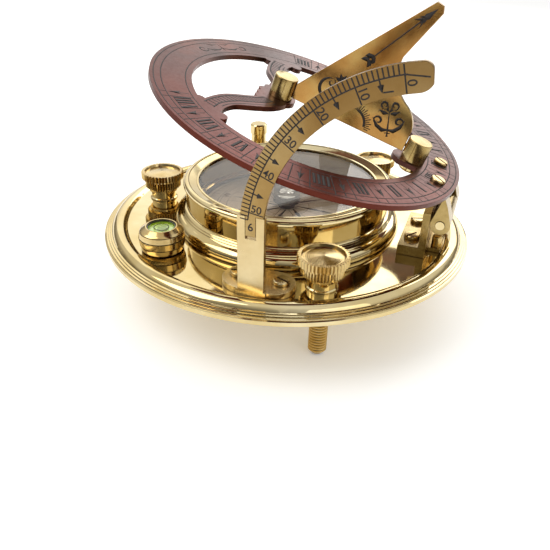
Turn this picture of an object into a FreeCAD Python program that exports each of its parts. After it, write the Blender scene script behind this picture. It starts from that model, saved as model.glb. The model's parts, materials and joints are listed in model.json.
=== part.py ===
import FreeCAD, Part
import math
import os
import Sketcher

from FreeCAD import Placement, Rotation, Vector

# Sundial compass with an equatorial hour ring. The origin is the centre of the base's underside.
# +X runs along the noon line to the hinge, +Y away from the latitude arc, +Z up.
doc = FreeCAD.newDocument("SundialCompass")

SIZES = {
    "base_radius": 63.5,
    "plate_top": 3.6,
    "plate_radius": 55.7,
    "crest_radius": 58.2,
    "crest_height": 4.9,
    "screw_circle": 48.0,
    "screw_head_radius": 7.7,
    "screw_head_top": 14.1,
    "screw_stem_radius": 2.95,
    "screw_stem_end": -20.5,
    "bush_radius": 4.5,
    "bush_top": 6.8,
    "bush_bore": 3.0,
    "drum_radius": 35.2,
    "drum_foot": 39.4,
    "bezel_radius": 35.9,
    "bezel_top": 18.6,
    "glass_radius": 31.6,
    "glass_top": 17.2,
    "glass_thick": 1.2,
    "card_radius": 29.6,
    "card_top": 6.7,
    "card_thick": 0.35,
    "hub_radius": 4.9,
    "hub_rim": 9.5,
    "cap_top": 15.1,
    "level_circle": 48.0,
    "level_radius": 7.4,
    "level_top": 11.8,
    "lock_circle": 49.0,
    "lock_knob_radius": 3.4,
    "lock_knob_top": 22.0,
    "lock_pillar_top": 13.9,
    "hinge_x": 54.2,
    "hinge_z": 16.2,
    "hinge_tilt": 18.3,
    "knuckle_radius": 3.05,
    "hinge_pin_radius": 1.4,
    "hinge_length": 27.0,
    "ring_radius": 52.2,
    "ring_hole": 39.2,
    "ring_thick": 1.6,
    "ring_reach": 52.9,
    "ring_rise": 9.9,
    "post_radius": 3.9,
    "post_left": -11.1,
    "post_right": 36.1,
    "gnomon_thick": 1.6,
    "gnomon_axis": 3.4,
    "gnomon_peak": 44.0,
    "arc_plane": -54.2,
    "arc_thick": 1.3,
    "arc_centre_x": 54.8,
    "arc_centre_z": 22.6,
    "arc_outer": 49.9,
    "arc_inner": 43.3,
    "bracket_x": 8.3,
    "bracket_width": 7.8,
    "bracket_top": 28.6,
    "bracket_thick": 1.8,
    "arc_pin_z": 23.4,
}

sheet = doc.addObject("Spreadsheet::Sheet", "Sizes")
for row, (alias, value) in enumerate(SIZES.items(), start=1):
    sheet.set("A%d" % row, alias)
    sheet.set("B%d" % row, str(value))
    sheet.setAlias("B%d" % row, alias)
doc.recompute()

S = SIZES
UP = Vector(0, 0, 1)
nodes = []


def keep(piece, label):
    piece.Label = label
    nodes.append(piece)
    return piece


def number(spec):
    """A size is a plain number, or (alias, offset) for a cell of the sheet plus an offset."""
    return S[spec[0]] + spec[1] if isinstance(spec, tuple) else spec


def bind(thing, prop, spec):
    if isinstance(spec, tuple):
        thing.setExpression(prop, "Sizes.%s + (%s)" % spec)
    else:
        setattr(thing, prop, spec)


def plane_of(body, role):
    return [f for f in body.Origin.OriginFeatures if f.Role == role][0]


def outline_sketch(body, role, points, bulges=None):
    """A closed outline of corners (u, v). bulges maps a side's number to a point its arc runs through."""
    bulges = bulges or {}
    sketch = body.newObject("Sketcher::SketchObject", body.Name + "Outline")
    sketch.AttachmentSupport = [(plane_of(body, role), "")]
    sketch.MapMode = "FlatFace"
    corners = [Vector(number(u), number(v), 0) for u, v in points]
    count = len(corners)
    for i in range(count):
        start, end = corners[i], corners[(i + 1) % count]
        if i in bulges:
            sketch.addGeometry(Part.Arc(start, Vector(bulges[i][0], bulges[i][1], 0), end))
        else:
            sketch.addGeometry(Part.LineSegment(start, end))
    for i, (u, v) in enumerate(points):
        for axis, spec in (("X", u), ("Y", v)):
            if isinstance(spec, tuple) and i not in bulges and (i - 1) % count not in bulges:
                at = sketch.addConstraint(Sketcher.Constraint("Distance" + axis, -1, 1, i, 1, number(spec)))
                sketch.setExpression("Constraints[%d]" % at, "Sizes.%s + (%s)" % spec)
            elif i not in bulges and (i - 1) % count not in bulges and number(spec) != 0:
                sketch.addConstraint(Sketcher.Constraint("Distance" + axis, -1, 1, i, 1, number(spec)))
    for i in range(count):
        if i not in bulges and (i + 1) % count not in bulges:
            sketch.addConstraint(Sketcher.Constraint("Coincident", i, 2, (i + 1) % count, 1))
    return sketch


def turned(name, points, bulges=None, label=None):
    """A turned piece: a half section of (radius, height) corners swept about Z."""
    body = doc.addObject("PartDesign::Body", name)
    sketch = outline_sketch(body, "XZ_Plane", points, bulges)
    turn = body.newObject("PartDesign::Revolution", name + "Turn")
    turn.Profile = sketch
    turn.ReferenceAxis = (sketch, ["V_Axis"])
    turn.Angle = 360
    doc.recompute()
    return keep(body, label) if label else body


def dome(radius, edge, top):
    """A point half way out on the sphere that rises from the edge height at that radius to its top."""
    rise = top - edge
    ball = (radius ** 2 + rise ** 2) / (2 * rise)
    return (radius / 2, top - ball + math.sqrt(ball ** 2 - radius ** 2 / 4))


def plate(name, role, points, thick, at, bulges=None, label=None):
    """A plate cut to an outline on one origin plane, with its sketch moved along the plane's normal."""
    body = doc.addObject("PartDesign::Body", name)
    sketch = outline_sketch(body, role, points, bulges)
    sketch.AttachmentOffset = Placement(Vector(0, 0, at), Rotation())
    pad = body.newObject("PartDesign::Pad", name + "Pad")
    pad.Profile = sketch
    bind(pad, "Length", thick)
    doc.recompute()
    return keep(body, label) if label else body


def rod(name, radius, length, place):
    piece = doc.addObject("Part::Cylinder", name)
    bind(piece, "Radius", radius)
    bind(piece, "Height", length)
    piece.Placement = place
    return piece


def block(name, low, high):
    piece = doc.addObject("Part::Box", name)
    piece.Length, piece.Width, piece.Height = (high[i] - low[i] for i in range(3))
    piece.Placement = Placement(Vector(*low), Rotation())
    return piece


def cut(name, base, tools, label=None):
    tool = tools[0]
    if len(tools) > 1:
        tool = doc.addObject("Part::MultiFuse", name + "Tools")
        tool.Shapes = tools
    piece = doc.addObject("Part::Cut", name)
    piece.Base = base
    piece.Tool = tool
    return keep(piece, label) if label else piece


def fuse(name, pieces, label=None):
    piece = doc.addObject("Part::MultiFuse", name)
    piece.Shapes = pieces
    piece.Refine = True
    return keep(piece, label) if label else piece


def solids(name, shapes, label):
    """Loose identical fasteners that share one node."""
    piece = doc.addObject("Part::Feature", name)
    piece.Shape = Part.makeCompound(shapes)
    return keep(piece, label)


def upright(x, y, z):
    return Placement(Vector(x, y, z), Rotation())


def polar(radius, degrees, z=0.0):
    angle = math.radians(degrees)
    return Vector(radius * math.cos(angle), radius * math.sin(angle), z)


def toothed(radius, depth, teeth, low, high):
    """A disc with a milled edge, as a solid from low to high."""
    points = []
    for i in range(teeth * 2):
        points.append(polar(radius - (depth if i % 2 else 0.0), 180.0 * i / teeth, low))
    wire = Part.makePolygon(points + [points[0]])
    return Part.Face(wire).extrude(Vector(0, 0, high - low))


def slotted_head(radius, height, slot, shank_radius, shank):
    """A cheese-head screw standing on z = 0, head up, shank down, slot across X."""
    head = Part.makeCylinder(radius, height)
    crown = [e for e in head.Edges if abs(e.BoundBox.ZMin - height) < 1e-6]
    head = head.makeFillet(min(0.35 * height, 0.3 * radius), crown)
    groove = Part.makeBox(2.2 * radius, slot, height, Vector(-1.1 * radius, -slot / 2, height * 0.55))
    stem = Part.makeCylinder(shank_radius, shank, Vector(0, 0, -shank))
    return head.cut(groove).fuse(stem).removeSplitter()


def placed(shape, place):
    copy = shape.copy()
    copy.Placement = place
    return copy


# Base
SCREW_ANGLES = {"front": -58.0, "back": 62.5, "left": 183.5}
LOCK_ANGLE = 123.5
LEVEL_ANGLE = -126.2
LOCK_AT = polar(S["lock_circle"], LOCK_ANGLE)
LEVEL_AT = polar(S["level_circle"], LEVEL_ANGLE)

base_blank = turned("BaseBlank", [
    (0, 0), (("base_radius", -0.4), 0), (("base_radius", 0), 0.4), (("base_radius", 0), 1.7),
    (("base_radius", -0.6), 1.9), (("base_radius", -0.6), 2.25), (("base_radius", -1.3), 2.35),
    (("base_radius", -1.3), 2.75), (("base_radius", -2.0), 2.85), (("base_radius", -2.0), 3.15),
    (("base_radius", -2.6), 3.2), (("plate_radius", 0), ("plate_top", 0)), (0, ("plate_top", 0))],
    {10: (S["crest_radius"] + 0.2, S["crest_height"])})

lock_turn = Placement(Vector(0, 0, 0), Rotation(UP, LOCK_ANGLE))
LEVER_PIVOT, LEVER_HEIGHT = 27.0, 1.45


def under_block(name, low, high):
    """A block set along the line from the compass centre to the lock knob."""
    piece = block(name, low, high)
    piece.Placement = lock_turn.multiply(Placement(Vector(*low), Rotation()))
    return piece


lever_slot = under_block("LeverSlot", (2.4, -2.5, -1.0), (53.0, 2.5, 2.6))
cover_rebate = under_block("CoverRebate", (1.4, -6.0, -1.0), (56.0, 6.0, 0.5))
pin_groove = under_block("PinGroove", (LEVER_PIVOT - 0.5, -4.5, -1.0),
                         (LEVER_PIVOT + 0.5, 4.5, LEVER_HEIGHT + 0.5))

BUSH_SEAT = 3.9
CASE_SCREWS = [polar(27.0, a) for a in (0.0, 90.0, 200.0, 290.0)]
HINGE_SCREWS = [(45.7, -6.3), (45.7, 6.3)]
HINGE_BOLTS = [(53.7, -5.2), (53.7, 5.2)]
ARC_SCREWS = [(1.6, -46.9), (15.0, -46.9)]
LIFT_PIN_CIRCLE = 6.4
LIFT_PIN_AT = polar(LIFT_PIN_CIRCLE, LOCK_ANGLE)

base_holes = [lever_slot, cover_rebate, pin_groove]
for side, angle in SCREW_ANGLES.items():
    seat = polar(S["screw_circle"], angle, -3)
    base_holes.append(rod("BushSeat_" + side, BUSH_SEAT, 10, Placement(seat, Rotation())))
for i, at in enumerate(CASE_SCREWS):
    base_holes.append(rod("CaseScrewHole%d" % i, 1.25, 10, upright(at.x, at.y, -3)))
    base_holes.append(rod("CaseScrewSink%d" % i, 2.3, 4.4, upright(at.x, at.y, -3)))
for i, (x, y) in enumerate(HINGE_SCREWS + HINGE_BOLTS + ARC_SCREWS):
    base_holes.append(rod("FootScrewHole%d" % i, 1.0, 10, upright(x, y, -3)))
base_holes.append(rod("LockShaftHole", 1.7, 10, upright(LOCK_AT.x, LOCK_AT.y, -3)))
base_holes.append(rod("LiftPinHole", 1.1, 10, upright(LIFT_PIN_AT.x, LIFT_PIN_AT.y, -3)))
base_holes.append(rod("LevelSpigotHole", 2.0, 10, upright(LEVEL_AT.x, LEVEL_AT.y, -3)))
cut("BasePlate", base_blank, base_holes, "base_plate")

# Levelling screws
bush = turned("LevellingBush", [
    (("bush_bore", 0), 0.2), (BUSH_SEAT, 0.2), (BUSH_SEAT, 3.6), (4.9, 3.6), (4.9, 4.1),
    (("bush_radius", 0), 4.4), (("bush_radius", 0), ("bush_top", 0)), (("bush_bore", 0), ("bush_top", 0))])
doc.recompute()
solids("LevellingBushes", [placed(bush.Shape, Placement(polar(S["screw_circle"], a), Rotation()))
                           for a in SCREW_ANGLES.values()], "levelling_bushes")

HEAD_TOP = S["screw_head_top"]
COLLAR_LOW = S["bush_top"] + 0.05
THREAD_TOP, THREAD_DEPTH, PITCH = 3.0, 0.5, 1.0
thread = []
for turn in range(int(THREAD_TOP - S["screw_stem_end"] - PITCH)):
    z = S["screw_stem_end"] + 0.9 + turn * PITCH
    thread += [(("screw_stem_radius", -THREAD_DEPTH), z), (("screw_stem_radius", 0), z + 0.4 * PITCH),
               (("screw_stem_radius", 0), z + 0.55 * PITCH)]
NECK, BAND_LOW, BAND_HIGH = 5.2, 8.3, HEAD_TOP - 2.75
DISH = S["screw_head_radius"] - 1.2
stem = turned("ScrewStem", [
    (0, ("screw_stem_end", 0)), (1.9, ("screw_stem_end", 0))] + thread + [
    (("screw_stem_radius", -THREAD_DEPTH), THREAD_TOP), (("screw_stem_radius", 0), THREAD_TOP + 0.6),
    (("screw_stem_radius", 0), COLLAR_LOW), (NECK, COLLAR_LOW), (NECK, 7.6), (NECK - 0.25, 7.75),
    (NECK, 7.9),
    (NECK, BAND_LOW - 0.3), (5.7, BAND_LOW), (5.7, BAND_HIGH), (DISH, BAND_HIGH + 0.25),
    (DISH, ("screw_head_top", -0.8)),
    (DISH - 0.4, ("screw_head_top", -0.9)),
    (1.2, ("screw_head_top", -0.4)), (0, ("screw_head_top", -0.25))])
tip_socket = Part.makeCylinder(1.2, 3.2, Vector(0, 0, S["screw_stem_end"] - 0.2))
RIM, TEETH, TOOTH, BEVEL = S["screw_head_radius"], 40, 0.6, 0.15
RIM_LOW = HEAD_TOP - 2.5
rim_form = Part.makeCylinder(RIM, HEAD_TOP - BEVEL - RIM_LOW, Vector(0, 0, RIM_LOW)).fuse(
    Part.makeCone(RIM, RIM - BEVEL, BEVEL, Vector(0, 0, HEAD_TOP - BEVEL)))
rim = toothed(RIM, TOOTH, TEETH, RIM_LOW, HEAD_TOP).common(rim_form)
lower_rim = toothed(RIM - 1.2, TOOTH, TEETH, BAND_LOW, BAND_HIGH)
dish = Part.makeCone(DISH - 0.35, DISH, 0.9, Vector(0, 0, HEAD_TOP - 0.9))
rim_ring = rim.fuse(lower_rim).cut(dish).cut(Part.makeCylinder(5.5, 6.5, Vector(0, 0, 7.5)))
doc.recompute()
head = rim_ring.fuse(stem.Shape).cut(tip_socket).removeSplitter()

TIP_REACH = 0.5
tip = Part.makeCylinder(1.15, 2.6, Vector(0, 0, S["screw_stem_end"])).fuse(
    Part.makeSphere(1.15, Vector(0, 0, S["screw_stem_end"] + 1.15 - TIP_REACH))).removeSplitter()
for side, angle in SCREW_ANGLES.items():
    for name, shape in (("levelling_screw_" + side, head), ("levelling_tip_" + side, tip)):
        piece = doc.addObject("Part::Feature", name)
        piece.Shape = shape
        piece.Placement = Placement(polar(S["screw_circle"], angle), Rotation())
        keep(piece, name)

# Compass
turned("LowerRing", [
    (33.0, ("plate_top", 0)), (("drum_foot", -0.2), ("plate_top", 0)), (("drum_foot", 0), 4.4), (36.9, 7.4),
    (36.4, 7.9), (33.0, 7.9)], {2: (38.7, 6.3)}, "compass_lower_ring")

case_blank = turned("CaseBlank", [
    (0, ("plate_top", 0)), (32.9, ("plate_top", 0)), (32.9, 7.95), (36.2, 7.95), (36.6, 8.2), (36.2, 8.5),
    (36.0, 8.7), (36.3, 9.0), (35.9, 9.4), (("drum_radius", 0), 9.6), (("drum_radius", 0), 16.6),
    (31.8, 16.6),
    (31.8, 15.95), (30.9, 15.95), (30.9, 14.9), (32.4, 14.9), (32.4, 8.6), (31.0, 7.6), (31.0, 4.5),
    (0, 4.5)])
case_holes = [rod("CaseTap%d" % i, 1.25, 1.9, upright(at.x, at.y, 2.2)) for i, at in enumerate(CASE_SCREWS)]
case_holes.append(rod("PivotSeat", 1.0, 4.0, upright(0, 0, 2.0)))
case_holes.append(rod("CaseLiftPinHole", 1.1, 4.0, upright(LIFT_PIN_AT.x, LIFT_PIN_AT.y, 3.0)))
cut("CompassCase", case_blank, case_holes, "compass_case")

turned("Bezel", [
    (30.7, 17.25), (30.7, 17.8), (31.3, 17.8), (31.45, 17.6), (33.9, ("bezel_top", -0.2)),
    (33.95, ("bezel_top", -0.45)), (34.15, ("bezel_top", -0.45)), (34.2, ("bezel_top", 0)),
    (("bezel_radius", 0), 17.5), (("bezel_radius", 0), 16.95), (("bezel_radius", -0.4), 16.6), (31.8, 16.6),
    (31.8, 17.25)], {7: (35.45, 18.25)}, "compass_bezel")
turned("Glass", [
    (0, ("glass_top", -S["glass_thick"])), (("glass_radius", 0), ("glass_top", -S["glass_thick"])),
    (("glass_radius", 0), ("glass_top", 0)), (0, ("glass_top", 0))], label="compass_glass")
turned("Card", [
    (1.5, ("card_top", -S["card_thick"])), (("card_radius", 0), ("card_top", -S["card_thick"])),
    (("card_radius", 0), ("card_top", 0)), (1.5, ("card_top", 0))], label="compass_card")
turned("Hub", [
    (1.3, ("card_top", 0)), (3.0, ("card_top", 0)), (3.0, ("card_top", 0.35)), (1.8, ("card_top", 0.5)),
    (1.75, ("card_top", 1.1)), (("hub_radius", 0), ("hub_rim", -0.7)), (("hub_radius", 0), ("hub_rim", 0)),
    (1.9, ("hub_rim", 0)), (1.9, ("hub_rim", 1.2)), (0, ("hub_rim", 1.7)), (0, ("hub_rim", 0.8)),
    (1.3, ("hub_rim", -0.4))], {4: (2.4, S["hub_rim"] - 1.2)}, "card_hub")
turned("Cap", [
    (1.95, ("hub_rim", 0)), (("hub_radius", -0.2), ("hub_rim", 0)), (("hub_radius", -0.2),
    ("hub_rim", 3.9)),
    (0, ("cap_top", 0)), (0, ("hub_rim", 1.75)), (1.95, ("hub_rim", 1.25))],
    {2: dome(S["hub_radius"] - 0.2, S["hub_rim"] + 3.9, S["cap_top"])}, "card_cap")
MAGNET_LINE = 9.0
CARD_UNDER = S["card_top"] - S["card_thick"]
solids("CardMagnets", [Part.makeBox(16.0, 1.6, 0.7, Vector(-8.0, s * MAGNET_LINE - 0.8, CARD_UNDER - 0.7))
                       for s in (-1, 1)], "card_magnets")
turned("Pivot", [
    (0, ("plate_top", 0.1)), (1.0, ("plate_top", 0.1)), (1.0, 4.5), (1.7, 4.5), (1.7, 5.0), (0.6, 5.4),
    (0.5, ("hub_rim", -0.4)), (0, ("hub_rim", 0.75))], label="compass_pivot")
case_screw = slotted_head(2.0, 1.2, 0.5, 1.2, 2.6)
solids("CaseScrews", [placed(case_screw, Placement(Vector(at.x, at.y, 1.4), Rotation(Vector(1, 0, 0), 180)))
                      for at in CASE_SCREWS], "compass_case_screws")

# Card lock
pillar = turned("LockPillar", [
    (1.35, 3.6), (4.6, 3.6), (4.6, 4.4), (3.1, 5.0), (3.1, 12.6), (4.1, 13.0),
    (4.1, ("lock_pillar_top", -0.05)), (1.35, ("lock_pillar_top", -0.05))], label="lock_pillar")
pillar.Placement = upright(LOCK_AT.x, LOCK_AT.y, 0)
knob = turned("LockKnob", [
    (0, 1.85), (1.5, 1.85), (1.5, 2.55), (1.28, 2.55), (1.28, ("lock_pillar_top", 0)),
    (("lock_knob_radius", -0.4), ("lock_pillar_top", 0)), (("lock_knob_radius", -0.4),
    ("lock_knob_top", -4.0)),
    (("lock_knob_radius", 0), ("lock_knob_top", -3.8)), (("lock_knob_radius", 0), ("lock_knob_top", -0.5)),
    (("lock_knob_radius", -0.5), ("lock_knob_top", 0)),
    (0, ("lock_knob_top", 0))], label="needle_lock_knob")
knob.Placement = upright(LOCK_AT.x, LOCK_AT.y, 0)

lever_bar = Part.makeBox(47.5, 4.0, 0.6, Vector(3.6, -2.0, LEVER_HEIGHT - 0.3)).fuse(
    Part.makeCylinder(0.9, 4.0, Vector(LEVER_PIVOT, -2.0, LEVER_HEIGHT), Vector(0, 1, 0))).cut(
    Part.makeCylinder(0.55, 6.0, Vector(LEVER_PIVOT, -3.0, LEVER_HEIGHT), Vector(0, 1, 0)))
lever = doc.addObject("Part::Feature", "LiftLever")
lever.Shape = lever_bar
lever.Placement = lock_turn
keep(lever, "lift_lever")
pin = doc.addObject("Part::Feature", "LeverPin")
pin.Shape = Part.makeCylinder(0.5, 9.0, Vector(LEVER_PIVOT, -4.5, LEVER_HEIGHT), Vector(0, 1, 0))
pin.Placement = lock_turn
keep(pin, "lift_lever_pin")
LIFT_FOOT, LIFT_HEAD = 1.8, CARD_UNDER - 0.5
lift = doc.addObject("Part::Feature", "LiftPin")
lift.Shape = Part.makeCylinder(1.03, LIFT_HEAD - LIFT_FOOT, Vector(LIFT_PIN_CIRCLE, 0, LIFT_FOOT)).fuse(
    Part.makeCylinder(1.5, 0.6, Vector(LIFT_PIN_CIRCLE, 0, LIFT_HEAD - 0.6))).removeSplitter()
lift.Placement = lock_turn
keep(lift, "lift_pin")
cover = doc.addObject("Part::Feature", "LeverCover")
cover.Shape = Part.makeBox(54.4, 11.8, 0.4, Vector(1.5, -5.9, 0.1))
cover.Placement = lock_turn
keep(cover, "lever_cover")

# Round level
LEVEL_TOP = S["level_top"]
barrel = [(2.2, 3.6), (6.0, 3.6), (6.5, 3.9)]
for low, high, foot, crown in ((4.0, 5.9, 6.6, 7.1), (6.2, 8.3, 7.2, 7.4), (8.6, 10.2, 7.35, 7.0)):
    barrel += [(foot, low), (crown, high), (6.7, high), (6.7, high + 0.3)]
WINDOW = 4.65
VIAL, VIAL_NECK, LEDGE = WINDOW - 0.2, WINDOW - 0.85, LEVEL_TOP - 0.8
barrel += [(6.95, 10.4), (6.8, 10.6), (WINDOW + 0.35, LEVEL_TOP), (WINDOW, LEVEL_TOP), (WINDOW, LEDGE),
           (WINDOW - 0.15, LEDGE), (WINDOW - 0.15, 6.0), (2.2, 6.0)]
level_body = turned("LevelBody", barrel, label="level_body")
vial = turned("LevelVial", [(0, 6.05), (VIAL, 6.05), (VIAL, 7.6), (VIAL_NECK, 7.6), (VIAL_NECK, 10.1), (0, 10.4)],
              label="level_liquid")
lens = turned("LevelLens", [
    (VIAL_NECK + 0.05, 7.65), (VIAL, 7.65), (VIAL, LEDGE - 0.05), (0, LEDGE + 0.2), (0, 10.45),
    (VIAL_NECK + 0.05, 10.15)], {2: dome(VIAL, LEDGE - 0.05, LEDGE + 0.2)}, "level_lens")
level_ring = turned("LevelRing", [
    (WINDOW - 0.45, LEDGE), (WINDOW - 0.05, LEDGE), (WINDOW - 0.05, LEDGE + 0.5),
    (WINDOW - 0.45, LEDGE + 0.5)],
    label="level_ring")
level_spigot = turned("LevelSpigot", [(0, 0.5), (1.95, 0.5), (1.95, 3.6), (2.15, 3.6), (2.15, 5.9), (0, 5.9)],
                      label="level_spigot")
for piece in (level_body, vial, lens, level_ring, level_spigot):
    piece.Placement = Placement(LEVEL_AT, Rotation())

# Latitude arc and its bracket
BX = S["bracket_x"]
HALF = S["bracket_width"] / 2
FRONT = S["arc_plane"]
SLOT = 1.6
FOOT_TOP = 5.6
bracket_foot = fuse("BracketFoot", [
    block("FootBar", (BX - 4.6, FRONT, 3.6), (BX + 4.6, -41.2, FOOT_TOP)),
    rod("FootEarLeft", 6.3, FOOT_TOP - 3.6, upright(BX - 4.8, -47.5, 3.6)),
    rod("FootEarRight", 6.3, FOOT_TOP - 3.6, upright(BX + 4.8, -47.5, 3.6))])
bracket_plate = block("BracketPlate", (BX - HALF, FRONT, 3.6), (BX + HALF, FRONT + S["bracket_thick"], 28.6))
bracket_rough = fuse("BracketRough", [bracket_foot, bracket_plate])
bracket_cuts = [
    block("TailSlot", (BX - SLOT, FRONT - 1, 21.9), (BX + SLOT, FRONT + 4, 30)),
    rod("ArcPinBore", 0.5, 12, Placement(Vector(BX - 6, FRONT + S["arc_thick"] / 2, S["arc_pin_z"]),
                                         Rotation(Vector(0, 1, 0), 90)))]
for i, (x, y) in enumerate(ARC_SCREWS):
    bracket_cuts.append(rod("BracketScrewHole%d" % i, 1.1, 8, upright(x, y, 0)))
cut("ArcBracket", bracket_rough, bracket_cuts, "arc_bracket")
foot_screw = slotted_head(2.5, 1.3, 0.7, 1.0, 3.6)
arc_screw_turns = (12.0, -20.0)
solids("ArcBracketScrews", [placed(foot_screw, Placement(Vector(x, y, FOOT_TOP), Rotation(UP, turn)))
                            for (x, y), turn in zip(ARC_SCREWS, arc_screw_turns)], "arc_bracket_screws")
rod("ArcPin", 0.45, S["bracket_width"], Placement(
    Vector(BX - HALF, FRONT + S["arc_thick"] / 2, S["arc_pin_z"]), Rotation(Vector(0, 1, 0), 90)))
keep(doc.getObject("ArcPin"), "arc_pin")

CX, CZ = S["arc_centre_x"], S["arc_centre_z"]
ARC_TOP_ANGLE = 83.7
ARC_SEAT = 28.66


def on_arc(radius, degrees):
    angle = math.radians(180.0 - degrees)
    return (CX + radius * math.cos(angle), CZ + radius * math.sin(angle))


def arc_seat_x(radius):
    return CX - math.sqrt(radius ** 2 - (ARC_SEAT - CZ) ** 2)


OUT, INN = S["arc_outer"], S["arc_inner"]
tail_low = S["arc_pin_z"] - 0.6
TAIL = SLOT - 0.14
arc_points = [
    (arc_seat_x(INN), ARC_SEAT), (BX + TAIL, ARC_SEAT), (BX + TAIL, tail_low), (BX - TAIL, tail_low),
    (BX - TAIL, ARC_SEAT), (arc_seat_x(OUT), ARC_SEAT), on_arc(OUT, ARC_TOP_ANGLE - 3),
    on_arc((OUT + INN) / 2 + 1.2, ARC_TOP_ANGLE), on_arc((OUT + INN) / 2 - 1.6, ARC_TOP_ANGLE),
    on_arc(INN, ARC_TOP_ANGLE - 4)]
arc_body = plate("ArcBlank", "XZ_Plane", arc_points, ("arc_thick", 0), -FRONT - S["arc_thick"], {
    5: on_arc(OUT, 45), 6: on_arc(OUT - 0.7, ARC_TOP_ANGLE - 0.7), 8: on_arc(INN + 0.7, ARC_TOP_ANGLE - 1.2),
    9: on_arc(INN, 45)})
arc_bore = rod("ArcTailBore", 0.5, 12, Placement(Vector(BX - 6, FRONT + S["arc_thick"] / 2, S["arc_pin_z"]),
                                                 Rotation(Vector(0, 1, 0), 90)))
cut("LatitudeArc", arc_body, [arc_bore], "latitude_arc")

# Hinge
HX, HZ = S["hinge_x"], S["hinge_z"]
KNUCKLE, LONG = S["knuckle_radius"], S["hinge_length"] / 2
MID = 6.8
FOOT_HIGH = 7.0
along_y = Rotation(Vector(1, 0, 0), -90)
hinge_bracket = fuse("HingeBracketRough", [
    block("HingeFoot", (42.2, -LONG + 0.6, 3.6), (51.0, LONG - 0.6, FOOT_HIGH)),
    block("HingeFootOuter", (51.0, -7.4, 3.6), (55.2, 7.4, 5.0)),
    block("HingeWeb", (48.7, -LONG + 0.6, 3.6), (51.0, LONG - 0.6, 19.2)),
    block("HingeWebBridge", (50.5, -MID, HZ - KNUCKLE), (HX, MID, HZ + 1.0)),
    rod("FixedKnuckle", ("knuckle_radius", 0), 2 * MID, Placement(Vector(HX, -MID, HZ), along_y))])
hinge_cuts = [rod("HingePinBoreFixed", ("hinge_pin_radius", 0), 40, Placement(Vector(HX, -20, HZ), along_y))]
for i, (x, y) in enumerate(HINGE_SCREWS):
    hinge_cuts.append(rod("HingeFootHole%d" % i, 1.1, 9, upright(x, y, 0)))
for i, (x, y) in enumerate(HINGE_BOLTS):
    hinge_cuts.append(rod("HingeBoltHole%d" % i, 1.75, 9, upright(x, y, 0)))
cut("HingeBracket", hinge_bracket, hinge_cuts, "hinge_bracket")
solids("HingeScrews", [placed(foot_screw, Placement(Vector(x, y, FOOT_HIGH), Rotation(UP, turn)))
                       for (x, y), turn in zip(HINGE_SCREWS, (55.0, 20.0))], "hinge_bracket_screws")
stop_screw = slotted_head(1.65, 5.2, 0.5, 0.95, 3.0)
solids("HingeStops", [placed(stop_screw, upright(x, y, 3.6)) for x, y in HINGE_BOLTS], "hinge_rest_studs")
hinge_pin = rod("HingePin", ("hinge_pin_radius", 0), ("hinge_length", 0.6),
                Placement(Vector(HX, -LONG - 0.3, HZ), along_y))
keep(hinge_pin, "hinge_pin")

# Hour ring, in its own frame: origin at the ring's centre on its top face
tilt = Rotation(Vector(0, 1, 0), S["hinge_tilt"])
REACH, RISE, THICK = S["ring_reach"], S["ring_rise"], S["ring_thick"]
ring_place = Placement(Vector(HX, 0, HZ), tilt).multiply(Placement(Vector(-REACH, 0, RISE), Rotation()))


def on_ring(piece, label=None):
    piece.Placement = ring_place
    return keep(piece, label) if label else piece


def disc(radius, x, y, low, high):
    return Part.makeCylinder(radius, high - low, Vector(x, y, low))


LEFT, RIGHT = S["post_left"], S["post_right"]
HUB_RADIUS = 5.2
ARM_LEFT = [(-26.2, 34.0), (-25.8, 29.9), (-25.2, 25.0), (-23.5, 18.5), (-20.6, 14.0), (-17.3, 9.9),
            (-15.2, 4.5)]
ARM_RIGHT = [(-7.3, 4.5), (-8.7, 9.4), (-10.5, 12.7), (-12.8, 15.7), (-15.1, 18.6), (-17.3, 21.4),
             (-18.6, 25.5), (-18.6, 30.0), (-16.2, 36.5)]
PALMETTE = [(-17.0, 0.0, 1.9), (-16.4, 3.4, 1.8), (-15.9, 6.6, 1.7)]


def smooth_edge(points):
    curve = Part.BSplineCurve()
    curve.interpolate([Vector(x, y, -THICK) for x, y in points])
    return curve.toShape()


def arm_plate():
    """One curved arm of the ring on the +Y side, from the ring in to the left post."""
    ends = [ARM_LEFT[-1], ARM_RIGHT[0]], [ARM_RIGHT[-1], ARM_LEFT[0]]
    straights = [Part.makeLine(*(Vector(x, y, -THICK) for x, y in pair)) for pair in ends]
    wire = Part.Wire([smooth_edge(ARM_LEFT), straights[0], smooth_edge(ARM_RIGHT), straights[1]])
    return Part.Face(wire).extrude(Vector(0, 0, THICK))


inside = disc(S["ring_hole"] + 0.5, 0, 0, -THICK, 0)
arm = arm_plate().common(inside).fuse([
    disc(2.2, -17.4, 33.4, -THICK, 0), disc(1.7, -26.6, 28.6, -THICK, 0)])
arm = arm.fuse([disc(r, x, y, -THICK, 0) for x, y, r in PALMETTE])
other_arm = arm.mirror(Vector(0, 0, 0), Vector(0, 1, 0))
hub = Part.makeBox(7.4, 9.4, THICK, Vector(-15.1, -4.7, -THICK)).fuse(disc(HUB_RADIUS, LEFT, 0, -THICK, 0))
ring_shape = disc(S["ring_radius"], 0, 0, -THICK, 0).cut(disc(S["ring_hole"], 0, 0, -THICK, 0))
ring_shape = ring_shape.fuse([arm, other_arm, hub])
tab = Part.makeBox(9.0, 9.2, THICK, Vector(32.0, -4.6, -THICK)).fuse(disc(4.6, 34.0, 0, -THICK, 0))
ring_shape = ring_shape.fuse(tab)
LEAF_SCREWS = [(46.0, -7.2), (44.8, 7.6)]
for x, y in [(LEFT, 0), (RIGHT, 0)] + LEAF_SCREWS:
    ring_shape = ring_shape.cut(disc(1.1, x, y, -3, 1))
ring = doc.addObject("Part::Feature", "HourRing")
ring.Shape = ring_shape.removeSplitter()
on_ring(ring, "hour_ring")

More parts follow.
